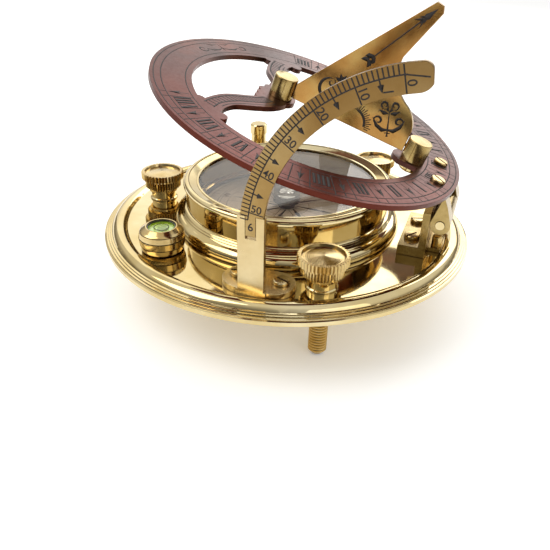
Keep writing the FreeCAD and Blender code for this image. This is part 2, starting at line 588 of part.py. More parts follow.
LUG = [(REACH - KNUCKLE, -RISE), (REACH - KNUCKLE, -THICK), (50.4, -THICK), (52.2, -3.6),
       (REACH + 0.82 * KNUCKLE, -RISE + 0.57 * KNUCKLE), (REACH, -RISE)]
leaf = Part.makeBox(10.0, 2 * LONG - 1.6, 1.5, Vector(40.6, -LONG + 0.8, -THICK - 1.5))
for side in (-1, 1):
    low = side * LONG if side < 0 else MID + 0.2
    width = LONG - MID - 0.2
    strap = [Vector(x, low, h) for x, h in LUG]
    lug = Part.Face(Part.makePolygon(strap + [strap[0]])).extrude(Vector(0, width, 0))
    eye = Part.makeCylinder(KNUCKLE, width, Vector(REACH, low, -RISE), Vector(0, 1, 0))
    leaf = leaf.fuse([lug, eye])
leaf_bore = Part.makeCylinder(S["hinge_pin_radius"] + 0.05, 60, Vector(REACH, -30, -RISE), Vector(0, 1, 0))
leaf = leaf.cut(leaf_bore)
leaf = leaf.cut(disc(S["ring_radius"] + 4, 0, 0, -THICK, 1))
for x, y in LEAF_SCREWS:
    leaf = leaf.cut(disc(1.1, x, y, -6, 1))
ring_leaf = doc.addObject("Part::Feature", "HingeRingLeaf")
ring_leaf.Shape = leaf.removeSplitter()
on_ring(ring_leaf, "hinge_ring_leaf")
leaf_screw = slotted_head(2.3, 1.1, 0.7, 1.05, 2.9)
on_ring(solids("LeafScrews", [placed(leaf_screw, Placement(Vector(x, y, 0), Rotation(UP, turn)))
                              for (x, y), turn in zip(LEAF_SCREWS, (-35.0, -28.0))], "hinge_leaf_screws"))

# Gnomon
AXIS = S["gnomon_axis"]
POST = S["post_radius"]
for name, x, top, inward in (("left", LEFT, 7.0, 1), ("right", RIGHT, 6.7, -1)):
    body = disc(POST, x, 0, 0, top)
    body = body.makeFillet(0.35, [e for e in body.Edges if abs(e.BoundBox.ZMin - top) < 1e-6])
    body = body.fuse(disc(1.1, x, 0, -THICK, 0))
    pin_hole = Vector(x + inward * (POST - 2.4), 0, AXIS)
    body = body.cut(Part.makeCylinder(0.55, 2.6, pin_hole, Vector(inward, 0, 0)))
    body = body.cut(disc(0.7, x, 0, -THICK, 1.0))
    post = doc.addObject("Part::Feature", "GnomonPost_" + name)
    post.Shape = body.removeSplitter()
    on_ring(post, "gnomon_post_" + name)
post_screw = slotted_head(3.1, 1.9, 0.7, 0.68, 2.2)
turned_over = Rotation(Vector(1, 0, 0), 180)
on_ring(solids("PostScrews", [placed(post_screw, Placement(Vector(x, 0, -THICK), turned_over))
                              for x in (LEFT, RIGHT)], "gnomon_post_screws"))

ROOT_LEFT, ROOT_RIGHT = LEFT + POST + 0.15, RIGHT - POST - 0.15
PEAK = S["gnomon_peak"]
gnomon_points = [(ROOT_LEFT, 1.4), (ROOT_RIGHT, 1.4), (ROOT_RIGHT, 8.2), (27.2, 14.6), (20.1, 27.0),
                 (25.3, PEAK - 2.2), (24.6, PEAK - 0.4), (22.4, PEAK), (ROOT_LEFT, 6.2)]
blade = plate("GnomonBlank", "XZ_Plane", gnomon_points, ("gnomon_thick", 0), -S["gnomon_thick"] / 2, {
    2: (30.2, 12.2), 3: (22.1, 19.4)})
blade_bore = rod("BladeBore", 0.6, 60, Placement(Vector(-20, 0, AXIS), Rotation(Vector(0, 1, 0), 90)))
pin_reach = 3.0
keeper = block("BladeBoreStop", (ROOT_LEFT + pin_reach, -2, 0), (ROOT_RIGHT - pin_reach, 2, 6))
blade_ends = cut("BladeEnds", blade_bore, [keeper])
on_ring(cut("GnomonBlade", blade, [blade_ends], "gnomon_blade"))
pins = [Part.makeCylinder(0.5, pin_reach + 1.9, Vector(ROOT_LEFT - 1.9, 0, AXIS), Vector(1, 0, 0)),
        Part.makeCylinder(0.5, pin_reach + 1.9, Vector(ROOT_RIGHT - pin_reach, 0, AXIS), Vector(1, 0, 0))]
on_ring(solids("GnomonPins", pins, "gnomon_pins"))

# Check and write
doc.recompute()
faults = [o.Label for o in doc.Objects if "Invalid" in o.State or "Error" in o.State]
if faults:
    raise RuntimeError("failed objects: " + ", ".join(faults))
os.makedirs("parts", exist_ok=True)
for piece in nodes:
    shape = piece.Shape
    if shape.isNull() or not shape.isValid() or not shape.Solids:
        raise RuntimeError("bad shape: " + piece.Label)
    shape.exportStep("parts/%s.step" % piece.Label)
    box = shape.BoundBox
    print("%-24s solids %d volume %9.1f  x %.1f..%.1f y %.1f..%.1f z %.1f..%.1f" % (
        piece.Label, len(shape.Solids), shape.Volume, box.XMin, box.XMax, box.YMin, box.YMax, box.ZMin, box.ZMax))
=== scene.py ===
import bmesh
import bpy
import json
import math
from mathutils import Matrix, Vector


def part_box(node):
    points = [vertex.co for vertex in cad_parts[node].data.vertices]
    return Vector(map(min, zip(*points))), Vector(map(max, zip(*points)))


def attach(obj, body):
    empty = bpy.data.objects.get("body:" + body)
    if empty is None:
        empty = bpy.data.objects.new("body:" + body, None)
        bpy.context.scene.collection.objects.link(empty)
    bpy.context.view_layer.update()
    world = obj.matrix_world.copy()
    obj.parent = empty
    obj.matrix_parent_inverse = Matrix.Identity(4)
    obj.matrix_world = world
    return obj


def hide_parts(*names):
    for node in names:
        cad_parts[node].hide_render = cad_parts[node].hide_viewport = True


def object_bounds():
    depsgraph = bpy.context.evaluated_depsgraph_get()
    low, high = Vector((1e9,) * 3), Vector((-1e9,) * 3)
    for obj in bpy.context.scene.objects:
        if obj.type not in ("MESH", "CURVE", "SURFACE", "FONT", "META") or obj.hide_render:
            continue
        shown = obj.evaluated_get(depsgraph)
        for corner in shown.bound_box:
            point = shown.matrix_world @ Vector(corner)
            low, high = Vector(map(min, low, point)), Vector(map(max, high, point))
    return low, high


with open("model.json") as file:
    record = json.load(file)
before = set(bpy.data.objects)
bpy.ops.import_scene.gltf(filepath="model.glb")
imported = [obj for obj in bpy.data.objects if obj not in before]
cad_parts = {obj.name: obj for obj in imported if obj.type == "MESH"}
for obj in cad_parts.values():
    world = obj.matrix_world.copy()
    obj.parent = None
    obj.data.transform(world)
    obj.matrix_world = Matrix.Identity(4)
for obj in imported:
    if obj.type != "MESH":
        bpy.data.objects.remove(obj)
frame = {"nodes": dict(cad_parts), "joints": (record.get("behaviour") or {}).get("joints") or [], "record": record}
cadBox = [list(corner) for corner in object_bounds()]
mm = 0.001
reliefDepth = 0.02 * mm
joints = {joint["name"]: joint for joint in frame["joints"]}
print("frame loaded")


# finishes
def toLinear(code):
    channels = [int(code[i:i + 2], 16) / 255 for i in (1, 3, 5)]
    return [c / 12.92 if c <= 0.04045 else ((c + 0.055) / 1.055) ** 2.4 for c in channels] + [1.0]


def addNode(tree, kind, inputs=None, **settings):
    made = tree.nodes.new(kind)
    for key, value in settings.items():
        setattr(made, key, value)
    for key, value in (inputs or {}).items():
        if isinstance(value, bpy.types.NodeSocket):
            tree.links.new(value, made.inputs[key])
        else:
            made.inputs[key].default_value = value
    return made


def perMetre(sizeMm):
    return 1 / (sizeMm * mm)  # a pattern's scale from the size of its features


def newFinish(name):
    finish = bpy.data.materials.new(name)
    finish.use_nodes = True
    tree = finish.node_tree
    tree.nodes.clear()
    out = addNode(tree, "ShaderNodeOutputMaterial")
    shader = addNode(tree, "ShaderNodeBsdfPrincipled")
    tree.links.new(shader.outputs["BSDF"], out.inputs["Surface"])
    place = addNode(tree, "ShaderNodeTexCoord").outputs["Object"]
    return finish, tree, shader, place


def rampColours(tree, factor, stops):
    ramp = addNode(tree, "ShaderNodeValToRGB", {"Fac": factor})
    for element, (position, code) in zip(ramp.color_ramp.elements, (stops[0], stops[-1])):
        element.position = position
        element.color = toLinear(code)
    for position, code in stops[1:-1]:
        ramp.color_ramp.elements.new(position).color = toLinear(code)
    return ramp.outputs["Color"]


def metalFinish(name, settings):
    # cast or rolled metal: a slow drift of tone, fine handling haze in the gloss, soft worn edges
    finish, tree, shader, place = newFinish(name)
    drift = addNode(tree, "ShaderNodeTexNoise", {"Vector": place, "Scale": perMetre(settings["driftMm"]),
                                                 "Detail": 4.0, "Roughness": 0.55})
    tone = rampColours(tree, drift.outputs["Fac"], settings["tones"])
    haze = addNode(tree, "ShaderNodeTexNoise", {"Vector": place, "Scale": perMetre(settings["hazeMm"]),
                                                "Detail": 6.0, "Roughness": 0.7})
    smooth, dull = settings["gloss"]
    gloss = addNode(tree, "ShaderNodeMapRange", {
        "Value": haze.outputs["Fac"], "From Min": 0.3, "From Max": 0.7, "To Min": smooth, "To Max": dull})
    # painted shade with dirt: the colour turns dark brown in every crevice that ambient occlusion finds, standing
    # in for the shade there as well as old polish and dirt
    shadeAndGrimeReach = settings.get("shadeAndGrimeMm", 0.9) * mm
    shelter = addNode(tree, "ShaderNodeAmbientOcclusion", {"Distance": shadeAndGrimeReach}, samples=6)
    shadeAndDirt = addNode(tree, "ShaderNodeMapRange", {
        "Value": shelter.outputs["AO"], "From Min": 0.35, "From Max": 0.85,
        "To Min": settings.get("shadeAndGrime", 0.75), "To Max": 0.0})
    crevicesShadedAndDirty = addNode(tree, "ShaderNodeMixRGB", {"Fac": shadeAndDirt.outputs["Result"], "Color1": tone,
                                              "Color2": toLinear("#5A3A1C")})
    tree.links.new(crevicesShadedAndDirty.outputs["Color"], shader.inputs["Base Color"])
    tree.links.new(gloss.outputs["Result"], shader.inputs["Roughness"])
    shader.inputs["Metallic"].default_value = 1.0
    grain = haze.outputs["Fac"]
    if "grainStretch" in settings:
        stretched = addNode(tree, "ShaderNodeMapping", {"Vector": place, "Scale": settings["grainStretch"]})
        lay = addNode(tree, "ShaderNodeTexNoise", {"Vector": stretched.outputs["Vector"], "Detail": 3.0,
                                                   "Scale": perMetre(settings["grainMm"])})
        grain = lay.outputs["Fac"]
    edge = addNode(tree, "ShaderNodeBevel", {"Radius": settings["edgeMm"] * mm}, samples=4)
    bump = addNode(tree, "ShaderNodeBump", {
        "Height": grain, "Strength": settings["bump"], "Distance": reliefDepth,
        "Normal": edge.outputs["Normal"]})
    tree.links.new(bump.outputs["Normal"], shader.inputs["Normal"])
    if settings.get("coat"):
        shader.inputs["Coat Weight"].default_value = settings["coat"]
        shader.inputs["Coat Roughness"].default_value = 0.08
    return finish


brassTones = [(0.3, "#CDB57A"), (0.5, "#D9C490"), (0.7, "#E4D4A8")]
lacqueredBrass = metalFinish("lacquered polished brass", {
    "driftMm": 22, "tones": brassTones, "hazeMm": 1.6, "gloss": (0.045, 0.085), "edgeMm": 0.12, "bump": 0.03})
turnedBrass = metalFinish("turned brass", {
    "driftMm": 9, "tones": [(0.3, "#BC9C5E"), (0.5, "#CCB27A"), (0.7, "#DAC698")], "hazeMm": 0.7,
    # stronger painted shade with dirt in the crevices of the turned parts
    "gloss": (0.12, 0.2), "edgeMm": 0.06, "bump": 0.08, "shadeAndGrime": 0.9, "shadeAndGrimeMm": 0.8})
satinBrass = metalFinish("satin brass sheet", {
    "driftMm": 16, "tones": [(0.28, "#8A6C3E"), (0.5, "#A38653"), (0.72, "#BAA270")], "hazeMm": 2.5,
    "gloss": (0.2, 0.27), "edgeMm": 0.3, "bump": 0.05, "grainMm": 0.5, "grainStretch": (1, 1, 0.05)})
paleBrass = metalFinish("pale brass bracket", {
    "driftMm": 14, "tones": [(0.3, "#C4A976"), (0.5, "#D2BB8A"), (0.72, "#DECB9E")], "hazeMm": 2.5,
    "gloss": (0.2, 0.28), "edgeMm": 0.3, "bump": 0.05})
gnomonBrass = metalFinish("polished brass sheet", {
    "driftMm": 18, "tones": [(0.3, "#93642F"), (0.5, "#AF8449"), (0.72, "#B9A263")], "hazeMm": 3.0,
    "gloss": (0.14, 0.22), "edgeMm": 0.35, "bump": 0.04})
# darker brass: aged on the hinge pieces, painted shade on the gnomon posts
agedAndShadedBrass = metalFinish("aged brass hinge and shaded posts", {
    "driftMm": 7, "tones": [(0.25, "#8C7442"), (0.5, "#AE9660"), (0.75, "#C9B484")], "hazeMm": 1.2,
    "gloss": (0.14, 0.28), "edgeMm": 0.2, "bump": 0.08})
antiqueCopper = metalFinish("antiqued copper", {
    "driftMm": 15, "tones": [(0.28, "#45302B"), (0.5, "#5B3E37"), (0.74, "#744233")], "hazeMm": 1.4,
    "gloss": (0.28, 0.42), "edgeMm": 0.25, "bump": 0.12, "coat": 0.1})
brightSteel = metalFinish("bright steel", {
    "driftMm": 6, "tones": [(0.3, "#A8A8A6"), (0.7, "#C6C6C4")], "hazeMm": 0.5, "gloss": (0.15, 0.3),
    "edgeMm": 0.05, "bump": 0.1})


def opened(finish):
    tree = finish.node_tree
    kinds = {made.type: made for made in tree.nodes}
    return tree, kinds["BSDF_PRINCIPLED"], kinds["TEX_COORD"].outputs["Object"]


def deepened(finish, axis, fromMm, toMm, code, most):
    # the tone shifts steadily along one axis of the piece; on the latitude arc and the compass card this is
    # painted shade
    tree, shader, place = opened(finish)
    along = addNode(tree, "ShaderNodeSeparateXYZ", {"Vector": place}).outputs[axis]
    deep = addNode(tree, "ShaderNodeMapRange", {
        "Value": along, "From Min": fromMm * mm, "From Max": toMm * mm, "To Max": most})
    before = shader.inputs["Base Color"].links[0].from_socket
    mixed = addNode(tree, "ShaderNodeMixRGB", {"Fac": deep.outputs["Result"], "Color1": before,
                                               "Color2": toLinear(code)})
    tree.links.new(mixed.outputs["Color"], shader.inputs["Base Color"])


# painted shade: the satin brass pieces darken towards the top
deepened(satinBrass, "Z", 25, 74, "#6E4E26", 0.75)
deepened(antiqueCopper, "Y", 10, -38, "#5C2213", 0.8)


def latheMarks(finish, centre, pitchMm):
    # fine rings left by the turning tool round an upright axis
    tree, shader, place = opened(finish)
    axisPoint = (centre[0], centre[1], 0)
    centred = addNode(tree, "ShaderNodeVectorMath", {0: place, 1: axisPoint}, operation="SUBTRACT")
    level = addNode(tree, "ShaderNodeVectorMath", {0: centred.outputs["Vector"], 1: (1, 1, 0)},
                    operation="MULTIPLY")
    reach = addNode(tree, "ShaderNodeVectorMath", {0: level.outputs["Vector"]}, operation="LENGTH")
    wave = addNode(tree, "ShaderNodeMath", {0: reach.outputs["Value"], 1: 2 * math.pi / (pitchMm * mm)},
                   operation="MULTIPLY")
    ripple = addNode(tree, "ShaderNodeMath", {0: wave.outputs["Value"]}, operation="SINE")
    bump = addNode(tree, "ShaderNodeBump", {"Height": ripple.outputs["Value"], "Strength": 0.25,
                                            "Distance": reliefDepth})
    before = shader.inputs["Normal"].links[0].from_socket
    tree.links.new(before, bump.inputs["Normal"])
    tree.links.new(bump.outputs["Normal"], shader.inputs["Normal"])


def coatedFinish(name, codes, sizeMm, roughness, bumpStrength):
    # paint, enamel or paper: mottled colour over a faint tooth
    finish, tree, shader, place = newFinish(name)
    mottle = addNode(tree, "ShaderNodeTexNoise", {"Vector": place, "Scale": perMetre(sizeMm), "Detail": 5.0})
    tree.links.new(rampColours(tree, mottle.outputs["Fac"], [(0.35, codes[0]), (0.65, codes[1])]),
                   shader.inputs["Base Color"])
    shader.inputs["Roughness"].default_value = roughness
    bump = addNode(tree, "ShaderNodeBump", {"Height": mottle.outputs["Fac"], "Strength": bumpStrength,
                                            "Distance": reliefDepth})
    tree.links.new(bump.outputs["Normal"], shader.inputs["Normal"])
    return finish


blackEnamel = coatedFinish("black engraving wax", ("#120D0B", "#2A201B"), 0.6, 0.55, 0.3)
blackenedBrass = coatedFinish("blackened brass", ("#1D1B1C", "#34302F"), 1.2, 0.28, 0.2)
cardPaper = coatedFinish("varnished paper card", ("#E6D3B8", "#F2E3CC"), 3.0, 0.5, 0.15)
# painted shade: the card darkens towards its back, where the hour ring and the hazy glass shade it
deepened(cardPaper, "Y", -14, 16, "#5C534B", 0.85)
brownInk = coatedFinish("brown printing ink", ("#5A3B28", "#6D4A33"), 0.8, 0.6, 0.1)


def clearFinish(name, code, roughness, transmission, ior=1.5):
    finish, tree, shader, place = newFinish(name)
    smear = addNode(tree, "ShaderNodeTexNoise", {"Vector": place, "Scale": perMetre(14), "Detail": 2.0})
    wipe = addNode(tree, "ShaderNodeMapRange", {"Value": smear.outputs["Fac"], "To Min": roughness,
                                                "To Max": roughness + 0.02})
    tree.links.new(wipe.outputs["Result"], shader.inputs["Roughness"])
    shader.inputs["Base Color"].default_value = toLinear(code)
    shader.inputs["Transmission Weight"].default_value = transmission
    shader.inputs["IOR"].default_value = ior
    return finish


clearGlass = clearFinish("clear lens glass", "#FBFDFB", 0.0, 1.0)
compassGlass = clearFinish("compass window glass", "#F3ECE2", 0.0, 1.0, ior=1.28)
frostedCap = clearFinish("clear acrylic cap", "#D3DBDD", 0.03, 0.9)
greenLiquid = clearFinish("green level liquid", "#C9E040", 0.05, 0.25)
bubbleAir = clearFinish("level bubble", "#DDEE88", 0.02, 0.3)
# painted light: the liquid glows faintly in its own green, to brighten it under the lens
liquidShader = opened(greenLiquid)[1]
liquidShader.inputs["Emission Color"].default_value = toLinear("#C9E040")
liquidShader.inputs["Emission Strength"].default_value = 0.25
print("finishes made")


# shared making steps
def finishMesh(name, shape, body, finish, stands=()):
    mesh = bpy.data.meshes.new(name)
    shape.to_mesh(mesh)
    shape.free()
    piece = bpy.data.objects.new(name, mesh)
    bpy.context.scene.collection.objects.link(piece)
    mesh.materials.append(finish)
    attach(piece, body)
    if stands:
        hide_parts(*stands)
    return piece


def softShade(piece, degrees):
    piece.data.shade_smooth()
    piece.data.set_sharp_from_angle(angle=math.radians(degrees))


def smoothedCopy(node, body, finish, degrees=32):
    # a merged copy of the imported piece, so that its turned faces shade as round ones
    shape = bmesh.new()
    shape.from_mesh(frame["nodes"][node].data)
    bmesh.ops.remove_doubles(shape, verts=shape.verts, dist=0.0004 * mm)
    piece = finishMesh(node + "_finished", shape, body, finish, (node,))
    if "custom_normal" in piece.data.attributes:
        piece.data.attributes.remove(piece.data.attributes["custom_normal"])
    softShade(piece, degrees)
    return piece


def arcOf(centre, radius, start, end, count):
    return [(centre[0] + radius * math.cos(math.radians(start + (end - start) * i / count)),
             centre[1] + radius * math.sin(math.radians(start + (end - start) * i / count)))
            for i in range(count + 1)]


def meshOf(drawn):
    settled = bpy.context.evaluated_depsgraph_get()
    return bpy.data.meshes.new_from_object(drawn.evaluated_get(settled))


def engraved(name, strokes, width, place, body, finish, height=0.03):
    # wax-filled cuts: strokes of (x, y) or (x, y, fullness) in mm on the plane of place
    curve = bpy.data.curves.new(name, "CURVE")
    curve.dimensions = "3D"
    curve.bevel_depth = width * mm / 2
    curve.bevel_resolution = 0
    for stroke in strokes:
        line = curve.splines.new("POLY")
        line.points.add(len(stroke) - 1)
        for point, spot in zip(line.points, stroke):
            point.co = (spot[0] * mm, spot[1] * mm, 0, 1)
            point.radius = spot[2] if len(spot) > 2 else 1.0
    drawn = bpy.data.objects.new(name + "_drawn", curve)
    bpy.context.scene.collection.objects.link(drawn)
    flat = Matrix.Diagonal((1, 1, 2 * height / width, 1))
    shape = bmesh.new()
    shape.from_mesh(meshOf(drawn))
    bpy.data.objects.remove(drawn)
    shape.transform(place @ flat)
    return finishMesh(name, shape, body, finish)


def lettered(name, texts, place, body, finish, height=0.03):
    # figures as (text, size, 2D placing matrix in mm)
    shape = bmesh.new()
    for text, size, spot in texts:
        curve = bpy.data.curves.new(name, "FONT")
        curve.body = text
        curve.size = size * mm
        curve.extrude = height * mm
        curve.offset = size * 0.012 * mm
        curve.align_x = "CENTER"
        drawn = bpy.data.objects.new(name + "_drawn", curve)
        bpy.context.scene.collection.objects.link(drawn)
        letters = meshOf(drawn)
        letters.transform(place @ spot)
        shape.from_mesh(letters)
        bpy.data.objects.remove(drawn)
    return finishMesh(name, shape, body, finish)


def spotAt(x, y, degrees):
    return Matrix.Translation((x * mm, y * mm, 0)) @ Matrix.Rotation(math.radians(degrees), 4, "Z")


def turnStroke(stroke, x, y, degrees, flip=1):
    c, s = math.cos(math.radians(degrees)), math.sin(math.radians(degrees))
    return [(x + c * p[0] * flip - s * p[1], y + s * p[0] * flip + c * p[1]) + tuple(p[2:]) for p in stroke]


def curl(x, y, radius, start, sweep, count=18, thick=1.5):
    # a scroll that winds in to its eye, fullest at its middle
    stroke = []
    for i in range(count + 1):
        part = i / count
        angle = math.radians(start + sweep * part)
        reach = radius * (1 - 0.78 * part)
        stroke.append((x + reach * math.cos(angle), y + reach * math.sin(angle),
                       0.35 + thick * math.sin(math.pi * min(1.0, part * 1.15)) if part < 1 else 1.2))
    return stroke


def circleStroke(radius, start=0.0, end=360.0, count=120, x=0.0, y=0.0):
    return arcOf((x, y), radius, start, end, count)


# places
hinge = Vector(joints["ring_tilt"]["pos_m"])
ringTilt = -joints["ring_tilt"]["range_deg"][0]
ringFace = (Matrix.Translation(hinge) @ Matrix.Rotation(math.radians(ringTilt), 4, "Y")
            @ Matrix.Translation((-52.9 * mm, 0, 9.9 * mm)))
standUp = Matrix.Rotation(math.radians(90), 4, "X")
bodyOf = {node: body for body, members in frame["record"]["behaviour"]["bodies"].items() for node in members}

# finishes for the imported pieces
polished = ["base_plate", "compass_lower_ring", "compass_case", "compass_bezel", "hinge_pin",
            "levelling_bushes", "gnomon_post_screws", "lock_pillar", "needle_lock_knob"]
turnedOnes = ["level_body", "arc_bracket_screws", "hinge_bracket_screws", "hinge_rest_studs",
              "hinge_leaf_screws",
              "compass_case_screws"]
for node in polished:
    smoothedCopy(node, bodyOf[node], lacqueredBrass)
for node in turnedOnes:
    smoothedCopy(node, bodyOf[node], turnedBrass)
for side in ("front", "back", "left"):
    node = "levelling_screw_" + side
    low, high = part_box(node)
    screwBrass = turnedBrass.copy()
    screwBrass.name = "turned brass " + side
    latheMarks(screwBrass, (low + high) / 2, 0.55)
    smoothedCopy(node, bodyOf[node], screwBrass, 20)
smoothedCopy("gnomon_blade", bodyOf["gnomon_blade"], gnomonBrass)
smoothedCopy("arc_bracket", bodyOf["arc_bracket"], paleBrass)
for node in ("latitude_arc", "lever_cover"):
    smoothedCopy(node, bodyOf[node], satinBrass)
# painted shade: the gnomon posts take the darker brass because they stand in shadow
for node in ("hinge_bracket", "hinge_ring_leaf", "gnomon_post_left", "gnomon_post_right"):
    smoothedCopy(node, bodyOf[node], agedAndShadedBrass)
smoothedCopy("hour_ring", "hour_ring", antiqueCopper)
for node, finish, slotName in (
        ("compass_glass", compassGlass, "glass"), ("compass_card", cardPaper, "card"),
        ("card_hub", blackenedBrass, "blackened"), ("card_cap", frostedCap, "cap_glass"),
        ("level_lens", clearGlass, "glass"), ("level_liquid", greenLiquid, "level_liquid"),
        ("level_ring", blackenedBrass, "blackened"), ("card_magnets", brightSteel, "steel"),
        ("compass_pivot", brightSteel, "steel"), ("lift_lever", brightSteel, "steel"),
        ("lift_lever_pin", brightSteel, "steel"), ("lift_pin", turnedBrass, "brass"),
        ("level_spigot", turnedBrass, "brass"), ("arc_pin", turnedBrass, "brass"),
        ("gnomon_pins", turnedBrass, "brass"), ("levelling_tip_front", brightSteel, "steel"),
        ("levelling_tip_back", brightSteel, "steel"), ("levelling_tip_left", brightSteel, "steel")):
    smoothedCopy(node, bodyOf[node], finish)
print("packed pieces finished")

# hour ring engraving
hourRing = {"hourDegrees": 15, "offset": 7.5, "inner": 41.2, "outer": 48.8, "rim": 51.0, "lineWidth": 0.34}
numerals = {0: "XII", 1: "I", 2: "II", 3: "III", 4: "IIII", 5: "V", 6: "VI", 7: "VII", 8: "VIII",
            -1: "XI", -2: "X", -3: "IX", -4: "VIII", -5: "VII", -6: "VI", -7: "V", -8: "IIII"}
letterWidth = {"I": 1.35, "V": 2.4, "X": 2.4}


def romanStrokes(text, high):
    # thick and thin cuts with serifs, centred on x, standing on y = 0
    strokes = []
    left = -sum(letterWidth[letter] for letter in text) / 2
    for letter in text:
        wide = letterWidth[letter]
        mid, lo, hi = left + wide / 2, left + 0.3, left + wide - 0.3
        if letter == "I":
            strokes += [[(mid, 0, 2.8), (mid, high, 2.8)]]
        elif letter == "V":
            strokes += [[(lo, high, 2.8), (mid, 0, 2.4)], [(hi, high, 1.0), (mid, 0, 1.0)]]
        else:
            strokes += [[(lo, high, 2.8), (hi, 0, 2.8)], [(hi, high, 1.0), (lo, 0, 1.0)]]
        left += wide
    half = sum(letterWidth[letter] for letter in text) / 2 - 0.1
    strokes += [[(-half, high, 0.8), (half, high, 0.8)], [(-half, 0, 0.8), (half, 0, 0.8)]]
    return strokes


def ringSpot(radius, hourAngle):
    angle = -math.radians(hourAngle)
    return radius * math.cos(angle), radius * math.sin(angle)


ringStrokes = [circleStroke(hourRing["inner"]), circleStroke(hourRing["rim"]),
               circleStroke(hourRing["outer"])]
for hour, text in numerals.items():
    middle = hour * hourRing["hourDegrees"] + hourRing["offset"]
    # tops of the figures face outwards
    x, y = ringSpot(42.4, middle)
    for stroke in romanStrokes(text, 5.2):
        ringStrokes.append(turnStroke(stroke, x, y, -middle - 90))
    for side in (-4.1, 4.1):
        ringStrokes.append([ringSpot(hourRing[edge], middle + side) for edge in ("inner", "rim")])
    half = middle + 7.5
    # the half hour's arrow, its full point and its two barbs
    ringStrokes.append([ringSpot(radius, half) + (full,)
                        for radius, full in ((42.0, 0.8), (45.0, 0.8), (45.2, 5.0), (48.2, 0.3))])
    for barb in (-1.6, 1.6):
        ringStrokes.append([ringSpot(44.2, half + barb) + (0.4,), ringSpot(45.6, half) + (2.0,)])
    ringStrokes.append([ringSpot(hourRing["outer"], half), ringSpot(hourRing["rim"], half)])
# a plain leaf scroll on the blank part of the ring
leafAt = {"angle": 203, "radius": 45.2, "scale": 1.5}
leafStrokes = [[(0.4, -1.4, 0.4), (2.2, -1.2, 1.8), (4.0, -1.8, 0.3)], curl(6.2, 0.6, 1.4, 190, -430),
               [(0, 0.4, 0.6), (1.6, 1.2, 2.0), (3.4, 1.3, 2.4), (4.9, 0.5, 0.4)],
               [(0, -1.6, 0.4), (0, 1.6, 1.6)]]
for flip in (1, -1):
    for stroke in leafStrokes:
        scaled = [(x * leafAt["scale"], y * leafAt["scale"], full) for x, y, full in stroke]
        x, y = ringSpot(leafAt["radius"], leafAt["angle"])
        ringStrokes.append(turnStroke(scaled, x, y, 90 - leafAt["angle"], flip))
arm = {"left": [(-26.0, 31.0), (-25.2, 25.0), (-23.5, 18.5), (-20.6, 14.0), (-17.3, 9.9), (-15.6, 6.4)],
       "right": [(-18.0, 33.0), (-18.6, 25.5), (-15.6, 19.2), (-11.9, 14.6), (-9.2, 10.4), (-8.2, 7.0)],
       "rungs": 20, "rails": (0.16, 0.62)}


def pathSpot(points, part):
    # a place along a chain of points, rounded through its corners
    reach = part * (len(points) - 1)
    index = min(int(reach), len(points) - 2)
    t = reach - index
    around = [points[max(0, min(len(points) - 1, index + k))] for k in (-1, 0, 1, 2)]
    return tuple(0.5 * (2 * p1 + (p2 - p0) * t + (2 * p0 - 5 * p1 + 4 * p2 - p3) * t * t
                        + (3 * p1 - p0 - 3 * p2 + p3) * t ** 3) for p0, p1, p2, p3 in zip(*around))


def armSpot(part, across, side):
    left, right = pathSpot(arm["left"], part), pathSpot(arm["right"], part)
    return (left[0] + (right[0] - left[0]) * across, side * (left[1] + (right[1] - left[1]) * across))


for side in (-1, 1):
    for rail in arm["rails"]:
        ringStrokes.append([armSpot(i / 40, rail, side) + (1.5,) for i in range(3, 40)])
    for rung in range(arm["rungs"]):
        part = 0.09 + 0.88 * rung / (arm["rungs"] - 1)
        ringStrokes.append([armSpot(part, rail, side) + (1.3,) for rail in arm["rails"]])
    ringStrokes.append([armSpot(i / 40, 0.84, side) for i in range(6, 37)])
engraved("hour_ring_engraving", ringStrokes, hourRing["lineWidth"], ringFace, "hour_ring", blackEnamel)
print("hour ring engraved")

# latitude arc scale
arcScale = {"centre": (54.8, 22.6), "zeroAt": 76.3, "perMark": 1.35,
            "outer": 49.75, "mid": 47.5, "inner": 43.45,
            "face": -54.2}
arcFace = Matrix.Translation((0, arcScale["face"] * mm, 0)) @ standUp


def arcSpot(radius, mark):
    angle = math.radians(180 - arcScale["zeroAt"] + arcScale["perMark"] * mark)
    across, up = arcScale["centre"]
    return across + radius * math.cos(angle), up + radius * math.sin(angle)


arcStrokes = [[arcSpot(arcScale["mid"], i * 0.5) for i in range(-1, 105)]]
for mark in range(0, 53):
    arcStrokes.append([arcSpot(arcScale["outer"], mark), arcSpot(arcScale["mid"], mark)])
    if mark % 10 == 0:
        arcStrokes.append([arcSpot(arcScale["mid"], mark), arcSpot(arcScale["inner"], mark)])
    elif mark % 5 == 0:
        arcStrokes.append([arcSpot(arcScale["mid"], mark), arcSpot(46.4, mark), arcSpot(46.2, mark) + (4.2,),
                           arcSpot(44.5, mark) + (0.2,)])
arcStrokes.append([arcSpot(47.5, -0.1), arcSpot(46.6, -4.8)])
arcStrokes.append([arcSpot(44.6, 4.8), arcSpot(44.4, 2.6)])
figures = []
for mark in range(0, 60, 10):
    angle = 180 - arcScale["zeroAt"] + arcScale["perMark"] * mark
    x, y = arcSpot(45.6, mark - 0.35)
    figures.append((str(mark), 3.0, spotAt(x, y, angle - 180)))
figures.append(("6", 3.3, spotAt(8.3, 24.5, 0)))
engraved("latitude_arc_scale", arcStrokes, 0.36, arcFace, "latitude_arc", blackEnamel)
lettered("latitude_arc_figures", figures, arcFace, "latitude_arc", blackEnamel)
print("latitude arc engraved")

# gnomon engraving
bladeStrokes = [[(11.9, 23.4, 1.5), (22.0, 40.2, 1.5)]]
